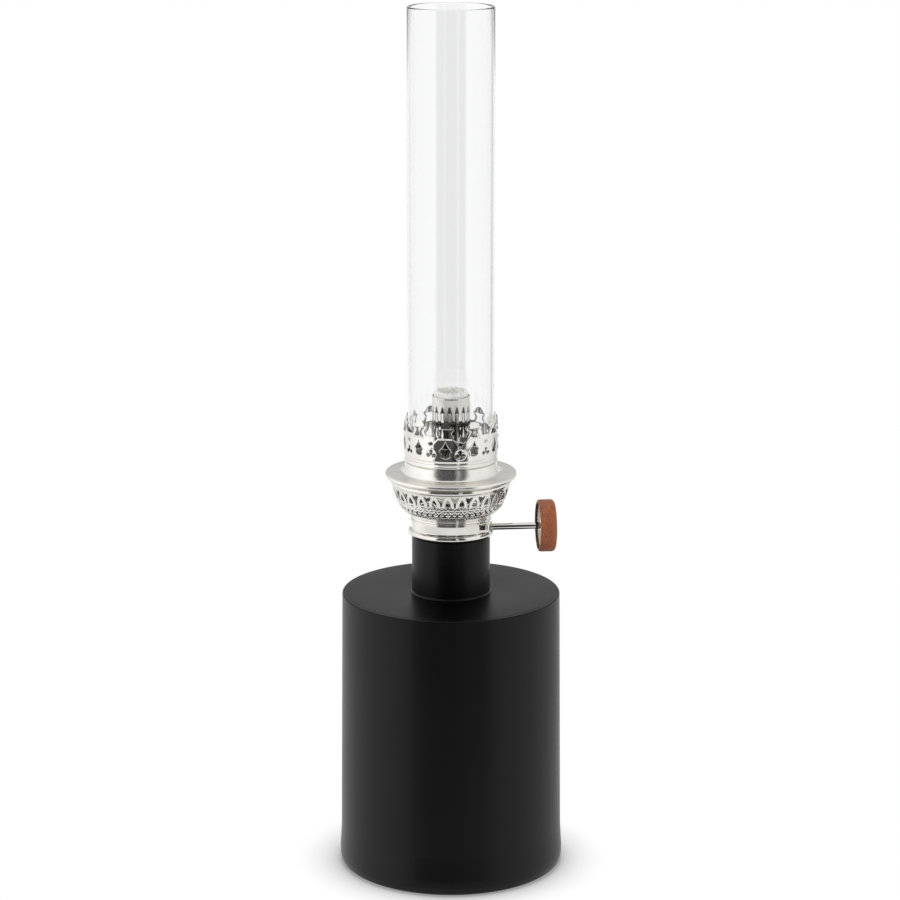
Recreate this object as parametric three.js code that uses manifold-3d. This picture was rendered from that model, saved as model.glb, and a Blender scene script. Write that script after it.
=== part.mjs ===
// Oil lamp: lacquered can reservoir, round-wick burner with side winder, pierced gallery, straight glass.
// Millimetres, Z up, the lamp's axis is the Z axis and it stands on Z = 0.
// The wick winder's spindle points along +X and runs in front of the wick tube, on the -Y side.
// Reservoir heights are measured from the ground. Everything on the burner, from its skirt up to the
// top of the glass, is measured from the burner's own datum, which lies BURNER_DATUM above the ground.
import * as THREE from 'three';
import { mergeVertices } from 'three/addons/utils/BufferGeometryUtils.js';
import Module from 'manifold-3d';

const wasm = await Module();
wasm.setup();

// ---------- driving dimensions ----------
const SEG = 40;                // facets round the large turned parts
const SMALL = 20;              // facets round the small turned parts
const FIT = 0.3;               // working gap left between neighbouring pieces

const BURNER_DATUM = 2.3;
const BASE_R_TOP = 44.7;       // reservoir, just under the rim
const BASE_R_LOW = 45.75;      // reservoir, just above the foot
const BASE_LOW_Z = 15.8;
const FOOT_R = 46.3;           // soft swell of the foot
const FOOT_Z = 6.2;
const BASE_H = 116.1;          // flat top of the reservoir
const CAN_WALL = 1.2;

const NECK_R = 16.0;
const NECK_WALL = 0.8;
const NECK_TOP = 140.3;
const COLLAR_BORE_R = 13.6;    // threaded collar soldered into the neck

const BURNER_R = 16.35;        // plain cylinder of the burner body
const SKIRT_R = 13.3;          // threaded skirt of the burner
const BASKET_Z = 148.1;        // underside of the pierced air basket
const BASKET_N = 26;           // pointed arches round the basket
const BASKET_TURN = THREE.MathUtils.degToRad(-8.7);

const PLATE_R = 26.9;          // gallery flange
const PLATE_Z = 164.4;
const CROWN_N = 10;            // repeats round the gallery crown
const CROWN_R = 19.1;
const CROWN_TURN = THREE.MathUtils.degToRad(-12.4);
const CROWN_TOP = 188.9;

const GLASS_R = 17.5;          // standard 35 mm straight chimney
const GLASS_WALL = 1.3;
const GLASS_BOTTOM = 171.3;
const GLASS_TOP = 352.9;

const TUBE_R = 7.8;            // outer wick tube
const TUBE_WALL = 0.6;
const TUBE_TOP = 196.3;
const DRAUGHT_R = 4.9;         // inner draught tube
const WICK_TOP = 198.5;
const WICK_R_OUT = 6.95;
const WICK_R_IN = 5.2;
const TAIL_W = 38;             // flat width of the 40 mm wick, cut and folded
const TAIL_TOP = 95;
const TAIL_BOTTOM = 12;

const SPINDLE_Y = -9;
const SPINDLE_Z = 143.0;
const SPINDLE_R = 1.3;
const KNOB_R = 10.65;
const KNOB_X = 34.9;           // mouth of the knob, facing the burner
const KNOB_END = 41.4;

// ---------- finishes ----------
const metalFinish = (color, roughness) => new THREE.MeshStandardMaterial({ color, roughness, metalness: 1 });
const plainFinish = (color, roughness) => new THREE.MeshStandardMaterial({ color, roughness, metalness: 0 });
const FINISH = {
  lacquer: plainFinish(0x151515, 0.5),
  nickel: metalFinish(0xd9d7d2, 0.15),
  brass: metalFinish(0xb8934a, 0.35),
  steel: metalFinish(0x9c9c9a, 0.4),
  leather: plainFinish(0x9a5638, 0.6),
  felt: plainFinish(0x202020, 0.95),
  rubber: plainFinish(0x2a2a2a, 0.85),
  cotton: plainFinish(0xf0ede4, 0.95),
  glass: new THREE.MeshStandardMaterial({ color: 0xf4f6f6, roughness: 0.05, transparent: true, opacity: 0.3 }),
};

// ---------- helpers ----------
const group = new THREE.Group();
group.name = 'oil_lamp';

function signedVolume(geometry) {
  const p = geometry.attributes.position;
  const index = geometry.index;
  const a = new THREE.Vector3();
  const b = new THREE.Vector3();
  const c = new THREE.Vector3();
  let total = 0;
  for (let i = 0; i < index.count; i += 3) {
    a.fromBufferAttribute(p, index.getX(i));
    b.fromBufferAttribute(p, index.getX(i + 1));
    c.fromBufferAttribute(p, index.getX(i + 2));
    total += a.dot(b.cross(c)) / 6;
  }
  return total;
}

// Joins the seams of a three.js geometry and turns its faces outward.
function closed(geometry) {
  geometry.deleteAttribute('normal');
  geometry.deleteAttribute('uv');
  const g = mergeVertices(geometry, 1e-4);
  if (signedVolume(g) < 0) {
    const index = g.index.array;
    for (let i = 0; i < index.length; i += 3) {
      [index[i + 1], index[i + 2]] = [index[i + 2], index[i + 1]];
    }
  }
  return g;
}

function toManifold(geometry) {
  const g = closed(geometry);
  return new wasm.Manifold(new wasm.Mesh({
    numProp: 3,
    vertProperties: new Float32Array(g.attributes.position.array),
    triVerts: new Uint32Array(g.index.array),
  }));
}

function fromManifold(manifold) {
  const mesh = manifold.getMesh();
  const g = new THREE.BufferGeometry();
  g.setAttribute('position', new THREE.BufferAttribute(new Float32Array(mesh.vertProperties), 3));
  g.setIndex(new THREE.BufferAttribute(new Uint32Array(mesh.triVerts), 1));
  return g;
}

function cut(geometry, cutters) {
  let body = toManifold(geometry);
  for (const cutter of cutters) {
    body = body.subtract(toManifold(cutter));
  }
  return fromManifold(body);
}

function join(...geometries) {
  const bodies = geometries.map(toManifold);
  return fromManifold(bodies.reduce((a, b) => a.add(b)));
}

function piece(name, geometry, finish, datum = BURNER_DATUM) {
  const g = geometry.index && !geometry.attributes.uv ? geometry : closed(geometry);
  g.translate(0, 0, datum);
  g.computeVertexNormals();
  const mesh = new THREE.Mesh(g, finish);
  mesh.name = name;
  group.add(mesh);
}

// Turned solid about Z from [radius, z] pairs. A profile off the axis closes on itself.
function turned(profile, segments = SEG) {
  const points = profile.map(([r, z]) => new THREE.Vector2(r, z));
  const first = profile[0];
  const last = profile[profile.length - 1];
  if (first[0] > 0 || last[0] > 0) {
    points.push(new THREE.Vector2(first[0], first[1]));
  }
  return new THREE.LatheGeometry(points, segments).rotateX(Math.PI / 2);
}

// Turned solid about the spindle's line from [radius, x] pairs.
function onSpindle(profile, segments = SMALL) {
  return turned(profile, segments).rotateY(Math.PI / 2).translate(0, SPINDLE_Y, SPINDLE_Z);
}

function ring(rIn, rOut, z0, z1, segments = SEG) {
  return turned([[rIn, z0], [rOut, z0], [rOut, z1], [rIn, z1]], segments);
}

function spindleRing(rIn, rOut, x0, x1, segments = SMALL) {
  return onSpindle([[rIn, x0], [rOut, x0], [rOut, x1], [rIn, x1]], segments);
}

function block(x0, x1, y0, y1, z0, z1) {
  return new THREE.BoxGeometry(x1 - x0, y1 - y0, z1 - z0)
    .translate((x0 + x1) / 2, (y0 + y1) / 2, (z0 + z1) / 2);
}

// Prism with its outline given as [tangential, z] pairs, driven outward from rIn to rOut at an angle.
function radialPrism(outline, rIn, rOut, angle) {
  const shape = new THREE.Shape(outline.map(([u, z]) => new THREE.Vector2(u, z)));
  return new THREE.ExtrudeGeometry(shape, { depth: rOut - rIn, bevelEnabled: false })
    .rotateX(Math.PI / 2)
    .translate(0, -rIn, 0)
    .rotateZ(angle);
}

function prismsAround(count, phase, outline, rIn, rOut) {
  const list = [];
  for (let i = 0; i < count; i += 1) {
    list.push(radialPrism(outline, rIn, rOut, (2 * Math.PI * (i + phase)) / count));
  }
  return list;
}

function regular(sides, radius, z) {
  const outline = [];
  for (let i = 0; i < sides; i += 1) {
    const a = (2 * Math.PI * (i + 0.5)) / sides;
    outline.push([radius * Math.cos(a), z + radius * Math.sin(a)]);
  }
  return outline;
}

// ---------- reservoir ----------
const GROUND = 0;

piece('reservoir_body', turned([
  [44.6, 0.3],
  [45.0, 0.3],
  [45.7, 0.9],
  [FOOT_R - 0.05, 3.3],
  [FOOT_R, FOOT_Z],
  [FOOT_R - 0.3, 11.0],
  [BASE_R_LOW, BASE_LOW_Z],
  [BASE_R_TOP, BASE_H - 1.0],
  [BASE_R_TOP - 0.3, BASE_H - 0.3],
  [BASE_R_TOP - 1.0, BASE_H],
  [NECK_R + FIT, BASE_H],
  [NECK_R + FIT, BASE_H - CAN_WALL],
  [BASE_R_TOP - CAN_WALL - 0.3, BASE_H - CAN_WALL],
  [BASE_R_TOP - CAN_WALL, BASE_H - 1.6],
  [BASE_R_LOW - CAN_WALL, BASE_LOW_Z],
  [FOOT_R - CAN_WALL, FOOT_Z],
]), FINISH.lacquer, GROUND);

piece('reservoir_neck', turned([
  [NECK_R - NECK_WALL, BASE_H - 2.6],
  [NECK_R + 4.2, BASE_H - 2.6],
  [NECK_R + 4.2, BASE_H - 1.6],
  [NECK_R, BASE_H - 1.6],
  [NECK_R, NECK_TOP],
  [NECK_R - NECK_WALL, NECK_TOP],
]), FINISH.lacquer, GROUND);

piece('base_plate', turned([
  [0, 1.2],
  [43.8, 1.2],
  [44.2, 1.6],
  [44.2, 8.0],
  [43.4, 8.0],
  [43.4, 2.2],
  [0, 2.2],
]), FINISH.steel, GROUND);

piece('base_pad', turned([
  [0, 0],
  [44.3, 0],
  [44.3, 0.9],
  [0, 0.9],
]), FINISH.felt, GROUND);

const collarTop = NECK_TOP - 0.8;
piece('neck_collar', ring(COLLAR_BORE_R, NECK_R - NECK_WALL - FIT, collarTop - 9.7, collarTop, 32),
  FINISH.brass, GROUND);

piece('burner_gasket', ring(COLLAR_BORE_R + 0.2, NECK_R - 0.1, NECK_TOP + FIT, NECK_TOP + FIT + 0.6, 32),
  FINISH.rubber, GROUND);

// ---------- burner body ----------
// The block that carries the spindle sits in a window of the burner's wall, its front face on the -Y side.
const BLOCK = { x0: 10.2, x1: 15.0, y0: -12.6, y1: -6.4, z0: 141.5, z1: 144.7, corner: 1.7 };
const blockWindow = block(8, 20, BLOCK.y0 - FIT, BLOCK.y1 + FIT, BLOCK.z0 - FIT, BLOCK.z1 + FIT);
piece('burner_base', cut(turned([
  [SKIRT_R - 0.8, 130.0],
  [SKIRT_R, 130.0],
  [SKIRT_R, 139.2],
  [BURNER_R, 139.2],
  [BURNER_R, 138.5],
  [17.0, 138.5],
  [17.65, 139.5],
  [17.55, 140.2],
  [BURNER_R, 141.7],
  [BURNER_R, 145.0],
  [16.65, 146.1],
  [16.2, 146.8],
  [16.8, 147.4],
  [16.8, 147.8],
  [15.5, 147.8],
  [15.5, 139.9],
  [SKIRT_R - 0.8, 139.9],
], 32), [blockWindow]), FINISH.nickel);

const archHole = [[-1.0, 154.9], [1.0, 154.9], [0, 157.7]];
const archGap = [[-0.4, 155.2], [0.4, 155.2], [1.4, 158.9], [-1.4, 158.9]];
piece('air_basket', cut(turned([
  [16.0, BASKET_Z],
  [18.3, BASKET_Z + 0.2],
  [20.6, 150.7],
  [21.7, 152.6],
  [22.6, 154.5],
  [23.5, 157.3],
  [24.1, 159.6],
  [24.8, 160.9],
  [24.0, 162.8],
  [23.3, 162.8],
  [23.3, 159.7],
  [22.7, 157.5],
  [21.8, 154.8],
  [20.9, 152.9],
  [19.9, 151.3],
  [18.0, 149.0],
  [16.0, 148.8],
], BASKET_N), [
  ...prismsAround(BASKET_N, 0, archHole, 20.5, 26),
  ...prismsAround(BASKET_N, 0.5, archGap, 20.5, 26),
]).rotateZ(BASKET_TURN), FINISH.nickel);

const ventHole = new THREE.CylinderGeometry(1.1, 1.1, 4, 10).rotateX(Math.PI / 2).translate(0, 12, 147.3);
piece('burner_floor', cut(ring(TUBE_R + FIT, 15.2, 147.0, 147.6, 32), [ventHole]), FINISH.nickel);

// ---------- wick tubes ----------
const wheelSlots = [];
for (const side of [-1, 1]) {
  wheelSlots.push(block(side * 4.2 - 0.9, side * 4.2 + 0.9, -10, -3, SPINDLE_Z - 3.3, SPINDLE_Z + 3.3));
  wheelSlots.push(block(side * 1.7 - 0.9, side * 1.7 + 0.9, -10, -3, SPINDLE_Z - 2.3, SPINDLE_Z + 2.3));
}
const outerWindow = block(-3.1, 3.1, 3, 10, 149.5, 156.1);
piece('outer_wick_tube', cut(
  ring(TUBE_R - TUBE_WALL, TUBE_R, 126, TUBE_TOP, 32),
  [...wheelSlots, outerWindow],
), FINISH.nickel);

piece('inner_draught_tube', cut(turned([
  [0, 131],
  [DRAUGHT_R, 131],
  [DRAUGHT_R, TUBE_TOP - 1.7],
  [DRAUGHT_R - 0.6, TUBE_TOP - 1.7],
  [DRAUGHT_R - 0.6, 131.6],
  [0, 131.6],
], 24), [block(-2.4, 2.4, 2, 8, 150.3, 155.3)]), FINISH.brass);

piece('air_chute', cut(
  block(-2.8, 2.8, DRAUGHT_R + FIT, 8.8, 149.9, 155.7),
  [block(-2.3, 2.3, 4, 10, 150.4, 155.2)],
), FINISH.brass);

// ---------- winder ----------
piece('shaft_washer', spindleRing(SPINDLE_R + FIT, 2.3, BLOCK.x1 + 0.3, BLOCK.x1 + 0.8), FINISH.nickel);

const blockOutline = new THREE.Shape();
blockOutline.moveTo(BLOCK.x0, BLOCK.y0);
blockOutline.lineTo(BLOCK.x1 - BLOCK.corner, BLOCK.y0);
blockOutline.absarc(BLOCK.x1 - BLOCK.corner, BLOCK.y0 + BLOCK.corner, BLOCK.corner, -Math.PI / 2, 0, false);
blockOutline.lineTo(BLOCK.x1, BLOCK.y1);
blockOutline.lineTo(BLOCK.x0, BLOCK.y1);
blockOutline.closePath();
piece('gland_block', cut(
  new THREE.ExtrudeGeometry(blockOutline, { depth: BLOCK.z1 - BLOCK.z0, bevelEnabled: false, curveSegments: 5 })
    .translate(0, 0, BLOCK.z0),
  [onSpindle([[0, 8], [SPINDLE_R + FIT, 8], [SPINDLE_R + FIT, 19], [0, 19]], 16)],
), FINISH.nickel);

piece('shaft_bracket', cut(
  join(
    block(-8.0, -7.2, -11.2, -6.8, 140.4, 146.7),
    block(-7.6, -5.6, -11.2, -6.8, 146.1, 146.7),
  ),
  [onSpindle([[0, -9], [1.3, -9], [1.3, -7], [0, -7]], 16)],
), FINISH.brass);

piece('winder_shaft', onSpindle([
  [0, -8.6],
  [1.0, -8.6],
  [1.0, 8.6],
  [SPINDLE_R, 8.9],
  [SPINDLE_R, KNOB_X + 5.0],
  [0, KNOB_X + 5.0],
]), FINISH.nickel);

piece('shaft_stop_ring', spindleRing(SPINDLE_R + FIT, 2.6, 8.95, BLOCK.x0 - FIT), FINISH.brass);

// Spurred feed wheels: the outer pair is larger so that all four follow the curve of the tube.
function spurWheel(tipR, x) {
  const teeth = 12;
  const shape = new THREE.Shape();
  for (let i = 0; i < teeth * 2; i += 1) {
    const r = i % 2 === 0 ? tipR : tipR - 0.35;
    const a = (Math.PI * i) / teeth;
    if (i === 0) {
      shape.moveTo(r * Math.cos(a), r * Math.sin(a));
    } else {
      shape.lineTo(r * Math.cos(a), r * Math.sin(a));
    }
  }
  shape.closePath();
  const bore = new THREE.Path();
  bore.absarc(0, 0, 1.28, 0, Math.PI * 2, true);
  shape.holes.push(bore);
  return new THREE.ExtrudeGeometry(shape, { depth: 1.2, bevelEnabled: false, curveSegments: 8 })
    .rotateY(Math.PI / 2)
    .translate(x - 0.6, SPINDLE_Y, SPINDLE_Z);
}
piece('feed_wheel_1', spurWheel(2.85, -4.2), FINISH.brass);
piece('feed_wheel_2', spurWheel(1.95, -1.7), FINISH.brass);
piece('feed_wheel_3', spurWheel(1.95, 1.7), FINISH.brass);
piece('feed_wheel_4', spurWheel(2.85, 4.2), FINISH.brass);

piece('knob_cup', onSpindle([
  [SPINDLE_R + FIT, KNOB_X + 0.7],
  [2.8, KNOB_X + 0.7],
  [2.8, KNOB_X + 4.7],
  [9.1, KNOB_X + 4.7],
  [9.1, KNOB_X],
  [9.6, KNOB_X],
  [9.6, KNOB_X + 5.4],
  [SPINDLE_R + FIT, KNOB_X + 5.4],
], 32), FINISH.nickel);

piece('knob_leather', onSpindle([
  [0, KNOB_END - 0.8],
  [9.9, KNOB_END - 0.8],
  [9.9, KNOB_X + 0.1],
  [KNOB_R, KNOB_X + 0.1],
  [KNOB_R, KNOB_END - 0.9],
  [KNOB_R - 0.6, KNOB_END - 0.1],
  [0, KNOB_END],
], 32), FINISH.leather);

// ---------- wick ----------
// A round sleeve at the top, a C section below the air chute, and a flat tail in the oil.
piece('wick', cut(
  join(
    ring(WICK_R_IN, WICK_R_OUT, TAIL_TOP - 7, WICK_TOP, 32),
    block(-TAIL_W / 2, TAIL_W / 2, -WICK_R_OUT, -WICK_R_IN, TAIL_BOTTOM, TAIL_TOP),
  ),
  [block(-3.2, 3.2, 0, 10, TAIL_TOP - 10, 161)],
), FINISH.cotton);

// ---------- gallery ----------
piece('gallery_plate', turned([
  [17.7, 169.0],
  [18.2, 165.0],
  [20.0, 163.4],
  [25.9, 163.2],
  [26.5, 162.8],
  [PLATE_R, 163.5],
  [PLATE_R - 0.1, PLATE_Z],
  [21.6, PLATE_Z - 0.1],
  [19.5, 165.1],
  [18.8, 167.0],
  [18.5, 169.0],
], 36), FINISH.nickel);

// Ten arches stand on the band: each is a waisted opening under a solid cap, with a clear gap beside it.
const archOpening = [[-2.7, 182.6], [2.7, 182.6], [1.65, 184.6], [3.0, 186.3], [-3.0, 186.3], [-1.65, 184.6]];
const archSpacing = [
  [-2.5, 183.3], [2.5, 183.3], [3.3, 184.6], [2.3, 186.3], [2.8, 187.4], [5.0, 188.7], [5.0, 200],
  [-5.0, 200], [-5.0, 188.7], [-2.8, 187.4], [-2.3, 186.3], [-3.3, 184.6],
];
const spadeHole = [[0, 174.8], [1.4, 175.7], [2.0, 177.5], [0, 180.8], [-2.0, 177.5], [-1.4, 175.7]];
piece('gallery_crown', cut(turned([
  [17.7, 169.4],
  [18.9, 169.4],
  [CROWN_R + 0.2, 170.1],
  [CROWN_R + 0.2, 170.6],
  [CROWN_R - 0.2, 171.4],
  [CROWN_R + 0.1, 176.0],
  [CROWN_R, 183.0],
  [CROWN_R - 0.7, CROWN_TOP],
  [CROWN_R - 1.2, CROWN_TOP],
  [CROWN_R - 0.5, 183.0],
  [CROWN_R - 0.4, 176.0],
  [18.4, 170.6],
  [17.7, 169.9],
], 3 * CROWN_N), [
  ...prismsAround(CROWN_N, 0, archOpening, 16.5, 21),
  ...prismsAround(CROWN_N, 0, spadeHole, 16.5, 21),
  ...prismsAround(CROWN_N, 0.5, archSpacing, 16.5, 21),
  ...prismsAround(CROWN_N, 0.5, regular(4, 1.2, 176.0), 16.5, 21),
]).rotateZ(CROWN_TURN), FINISH.nickel);

piece('chimney_seat', turned([
  [14.2, 170.4],
  [17.9, 170.4],
  [17.9, 171.0],
  [14.8, 171.0],
  [14.8, 173.5],
  [14.2, 173.5],
], 32), FINISH.nickel);

piece('glass_chimney', ring(GLASS_R - GLASS_WALL, GLASS_R, GLASS_BOTTOM, GLASS_TOP), FINISH.glass);

export default group;
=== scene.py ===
"""Oil lamp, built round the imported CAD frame. Metres, Z up. The lamp's axis is Z, the spindle points to +X."""
import math

import bmesh
import bpy
import numpy as np
from mathutils import Matrix, Vector


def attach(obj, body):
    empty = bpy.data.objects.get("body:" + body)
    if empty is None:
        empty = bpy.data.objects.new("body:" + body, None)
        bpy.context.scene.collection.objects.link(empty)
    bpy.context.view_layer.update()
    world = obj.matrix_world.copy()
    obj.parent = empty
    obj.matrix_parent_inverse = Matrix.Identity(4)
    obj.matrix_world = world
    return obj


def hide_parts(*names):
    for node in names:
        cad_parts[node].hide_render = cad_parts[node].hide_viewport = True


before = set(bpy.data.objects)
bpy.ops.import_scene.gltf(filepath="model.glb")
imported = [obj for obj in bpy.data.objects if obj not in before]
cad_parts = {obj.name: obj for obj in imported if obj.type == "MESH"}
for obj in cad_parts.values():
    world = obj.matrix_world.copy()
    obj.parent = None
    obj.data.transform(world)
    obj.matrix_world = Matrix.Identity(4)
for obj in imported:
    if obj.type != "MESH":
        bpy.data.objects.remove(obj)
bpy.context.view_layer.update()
MM = 0.001

# Reservoir outlines are measured from the ground. All others are measured from the burner's datum.
BURNER_DATUM = 2.3
SPINDLE_Y, SPINDLE_Z = -9.0, 143.0
KNOB_X = 34.9
CROWN_N, BASKET_N = 10, 26


# ---------------------------------------------------------------- camera, floor and light
CAMERA_AZIMUTH = math.radians(-5.7)
CAMERA_PITCH = math.radians(13.7)
CAMERA_DISTANCE, CAMERA_HEIGHT = 1.2007, 0.4683


def make_camera():
    data = bpy.data.cameras.new("camera")
    data.sensor_width = 36.0
    data.lens = 121.44
    data.clip_start, data.clip_end = 0.01, 20.0
    camera = bpy.data.objects.new("camera", data)
    bpy.context.collection.objects.link(camera)
    camera.location = (
        CAMERA_DISTANCE * math.sin(CAMERA_AZIMUTH),
        -CAMERA_DISTANCE * math.cos(CAMERA_AZIMUTH),
        CAMERA_HEIGHT,
    )
    aim_trim = math.radians(0.019)
    camera.rotation_euler = (math.pi / 2 - CAMERA_PITCH, 0, CAMERA_AZIMUTH + aim_trim)
    bpy.context.scene.camera = camera


class Nodes:
    """Short names for building a node tree."""

    def __init__(self, tree):
        self.tree = tree

    def add(self, kind, inputs=None, **props):
        node = self.tree.nodes.new(kind)
        for key, value in props.items():
            setattr(node, key, value)
        for key, value in (inputs or {}).items():
            self.put(node, key, value)
        return node

    def put(self, node, key, value):
        socket = node.inputs[key]
        if isinstance(value, bpy.types.NodeSocket):
            self.tree.links.new(value, socket)
        else:
            socket.default_value = value

    def math(self, operation, a, b=0.0, clamp=False):
        node = self.add("ShaderNodeMath", {0: a, 1: b}, operation=operation, use_clamp=clamp)
        return node.outputs[0]

    def vector(self, operation, a, b=(0, 0, 0), scale=None):
        inputs = {0: a, 1: b}
        if scale is not None:
            inputs = {0: a, "Scale": scale}
        node = self.add("ShaderNodeVectorMath", inputs, operation=operation)
        return node.outputs["Value" if operation in ("DOT_PRODUCT", "LENGTH") else "Vector"]

    def ramp(self, fac, stops, interpolation="LINEAR"):
        """stops are (position, value or colour)."""
        node = self.add("ShaderNodeValToRGB", {"Fac": fac})
        node.color_ramp.interpolation = interpolation
        elements = node.color_ramp.elements
        while len(elements) < len(stops):
            elements.new(0.5)
        for element, (position, value) in zip(elements, stops):
            element.position = position
            colour = value if hasattr(value, "__len__") else (value, value, value)
            element.color = (*colour, 1.0)
        return node.outputs["Color"]

    def noise(self, coords, scale, detail=2.0, roughness=0.5):
        node = self.add(
            "ShaderNodeTexNoise",
            {"Vector": coords, "Scale": scale, "Detail": detail, "Roughness": roughness},
        )
        return node.outputs["Fac"]

    def span(self, value, low, high, start=0.0, end=1.0, smooth=False):
        node = self.add(
            "ShaderNodeMapRange",
            {"Value": value, "From Min": start, "From Max": end, "To Min": low, "To Max": high},
            interpolation_type="SMOOTHSTEP" if smooth else "LINEAR",
        )
        return node.outputs["Result"]

    def mix(self, fac, a, b):
        node = self.add("ShaderNodeMix", data_type="RGBA")
        self.put(node, 0, fac)
        self.put(node, 6, a if isinstance(a, bpy.types.NodeSocket) else (*a, 1.0))
        self.put(node, 7, b if isinstance(b, bpy.types.NodeSocket) else (*b, 1.0))
        return node.outputs[2]

    def bump(self, height, strength, distance, normal=None):
        inputs = {"Height": height, "Strength": strength, "Distance": distance}
        if normal is not None:
            inputs["Normal"] = normal
        return self.add("ShaderNodeBump", inputs).outputs["Normal"]


# What mirrors see round the lamp, by azimuth in degrees from the camera (positive to its right).
STUDIO_WALL = [
    (-180, 1.0), (-153, 1.0), (-148, 0.85), (-130, 0.95), (-100, 1.15), (-45, 1.25), (-38, 0.08), (2, 0.08),
    (4, 0.03), (14, 0.03), (15, 0.6), (21, 0.6), (22, 0.08), (38, 0.08), (45, 1.0), (90, 0.95), (130, 0.8),
    (148, 0.6), (153, 1.0), (180, 1.0),
]
STUDIO_BACK = [(-153, 1.0), (-148, 0.0), (148, 0.0), (153, 1.0)]
STUDIO_BACK_HIGH = 0.6
STUDIO_CEILING = 0.9
STUDIO_GROUND = 0.85
STUDIO_FILL = 1.45
STUDIO_FILL_IN_GLASS = 1.55  # makes up for what the chimney takes from the light on the wick


def grey(value):
    return (value, value, value)


def make_world():
    """A white tent that is open behind the camera: mirrors see the dark opening, everything else sees white."""
    world = bpy.data.worlds.new("studio")
    bpy.context.scene.world = world
    world.use_nodes = True
    world.node_tree.nodes.clear()
    n = Nodes(world.node_tree)
    ray = n.add("ShaderNodeTexCoord").outputs["Generated"]
    up = n.add("ShaderNodeSeparateXYZ", {0: ray}).outputs[2]
    towards = (math.sin(CAMERA_AZIMUTH), -math.cos(CAMERA_AZIMUTH), 0.0)
    sideways = (math.cos(CAMERA_AZIMUTH), math.sin(CAMERA_AZIMUTH), 0.0)
    front = n.vector("DOT_PRODUCT", ray, towards)
    side = n.vector("DOT_PRODUCT", ray, sideways)
    turn = n.span(n.math("ARCTAN2", side, front), 0.0, 1.0, -math.pi, math.pi)
    wall = n.ramp(turn, [(0.5 + azimuth / 360, value) for azimuth, value in STUDIO_WALL])
    back = n.ramp(turn, [(0.5 + azimuth / 360, value) for azimuth, value in STUDIO_BACK])
    mirror = n.mix(n.math("MULTIPLY", back, n.span(up, 0.0, 1.0, 0.08, 0.13)), wall, grey(STUDIO_BACK_HIGH))
    mirror = n.mix(n.span(up, 0.0, 1.0, 0.74, 0.88, smooth=True), mirror, grey(STUDIO_CEILING))
    mirror = n.mix(n.span(up, 1.0, 0.0, -0.38, -0.34), mirror, grey(STUDIO_GROUND))
    path = n.add("ShaderNodeLightPath")
    seen_in_mirror = n.math("GREATER_THAN", path.outputs["Glossy Depth"], 0.5)
    seen_by_diffuse = n.math("GREATER_THAN", path.outputs["Diffuse Depth"], 0.5)
    tilt = n.span(side, STUDIO_FILL * 1.12, STUDIO_FILL * 0.88, -1.0, 1.0)
    fill = n.math("MULTIPLY", tilt, n.span(up, 0.9, 1.1, -0.2, 1.0))
    behind_glass = n.span(path.outputs["Transmission Depth"], 1.0, STUDIO_FILL_IN_GLASS, 2.0, 4.0)
    plain = n.mix(seen_by_diffuse, grey(1.0), n.math("MULTIPLY", fill, behind_glass))
    colour = n.mix(seen_in_mirror, plain, mirror)
    background = n.add("ShaderNodeBackground", {"Color": colour, "Strength": 1.0})
    out = n.add("ShaderNodeOutputWorld")
    n.put(out, "Surface", background.outputs[0])
    world.cycles.sampling_method = "NONE"


# How bright the floor's glow is painted for each share of its sky that the object leaves open: a painted contact
# shadow.
PAINTED_CONTACT_SHADOW = [(0.46, 0.34), (0.55, 0.50), (0.645, 0.70), (0.785, 0.85), (0.906, 0.945), (0.99, 1.0)]
CONTACT_REACH = 0.02


def make_floor():
    """White paper that glows pure white, with a painted shadow where the object stands. Mirrors see the studio
    instead.
    """
    mesh = bpy.data.meshes.new("floor")
    half = 6.0
    mesh.from_pydata([(-half, -half, 0), (half, -half, 0), (half, half, 0), (-half, half, 0)], [], [(0, 1, 2, 3)])
    floor = bpy.data.objects.new("floor", mesh)
    bpy.context.collection.objects.link(floor)
    material = bpy.data.materials.new("floor_white")
    material.use_nodes = True
    material.node_tree.nodes.clear()
    n = Nodes(material.node_tree)
    open_sky = n.add("ShaderNodeAmbientOcclusion", {"Distance": CONTACT_REACH}, samples=24).outputs["AO"]
    # Painted shadow: the glow is dimmed where the object hides the floor's sky within reach.
    glow = n.add("ShaderNodeEmission", {"Color": n.ramp(open_sky, PAINTED_CONTACT_SHADOW)}).outputs[0]
    clear = n.add("ShaderNodeBsdfTransparent").outputs[0]
    path = n.add("ShaderNodeLightPath")
    seen_in_mirror = n.math("GREATER_THAN", path.outputs["Glossy Depth"], 0.5)
    shader = n.add("ShaderNodeMixShader", {0: seen_in_mirror, 1: glow, 2: clear}).outputs[0]
    out = n.add("ShaderNodeOutputMaterial")
    n.put(out, "Surface", shader)
    mesh.materials.append(material)


make_camera()
make_world()
make_floor()


# ---------------------------------------------------------------- materials
def principled(name, **values):
    material = bpy.data.materials.new(name)
    material.use_nodes = True
    material.node_tree.nodes.clear()
    n = Nodes(material.node_tree)
    shader = n.add("ShaderNodeBsdfPrincipled")
    for key, value in values.items():
        shader.inputs[key.replace("_", " ")].default_value = value
    out = n.add("ShaderNodeOutputMaterial")
    n.put(out, "Surface", shader.outputs[0])
    coords = n.add("ShaderNodeTexCoord")
    return material, n, shader, coords


def stretched(n, coords, x, y, z):
    return n.add("ShaderNodeMapping", {"Vector": coords, "Scale": (x, y, z)}).outputs[0]


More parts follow.
